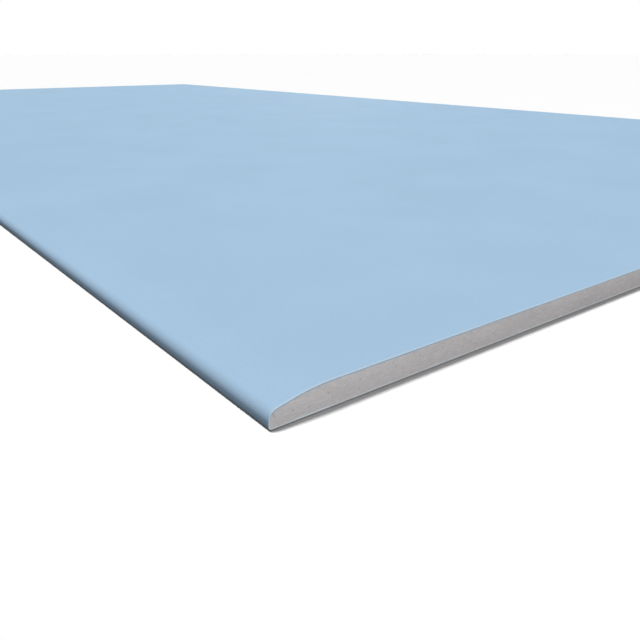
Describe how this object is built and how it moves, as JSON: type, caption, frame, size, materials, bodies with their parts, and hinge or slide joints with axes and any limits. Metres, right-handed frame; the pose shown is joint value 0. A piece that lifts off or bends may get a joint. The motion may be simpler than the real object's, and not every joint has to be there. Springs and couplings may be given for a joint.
{
  "type": "drywall sheet",
  "caption": "Flat rectangular gypsum board lying face up: a grey gypsum core between blue papers, with half-round tapered long edges and square cut ends.",
  "frame": {"origin": "under the middle of the sheet, on the plane that its back rests on", "axes": "+Z from the back to the face, +Y along the tapered long edges, +X across the sheet"},
  "size_m": [1.25, 2.5, 0.0125],
  "materials": {
    "gypsum": "matte",
    "face_paper": "matte",
    "back_paper": "matte"
  },
  "bodies": {
    "root": {"gypsum_core": "gypsum", "face_paper": "face_paper", "back_paper": "back_paper"}
  },
  "joints": []
}
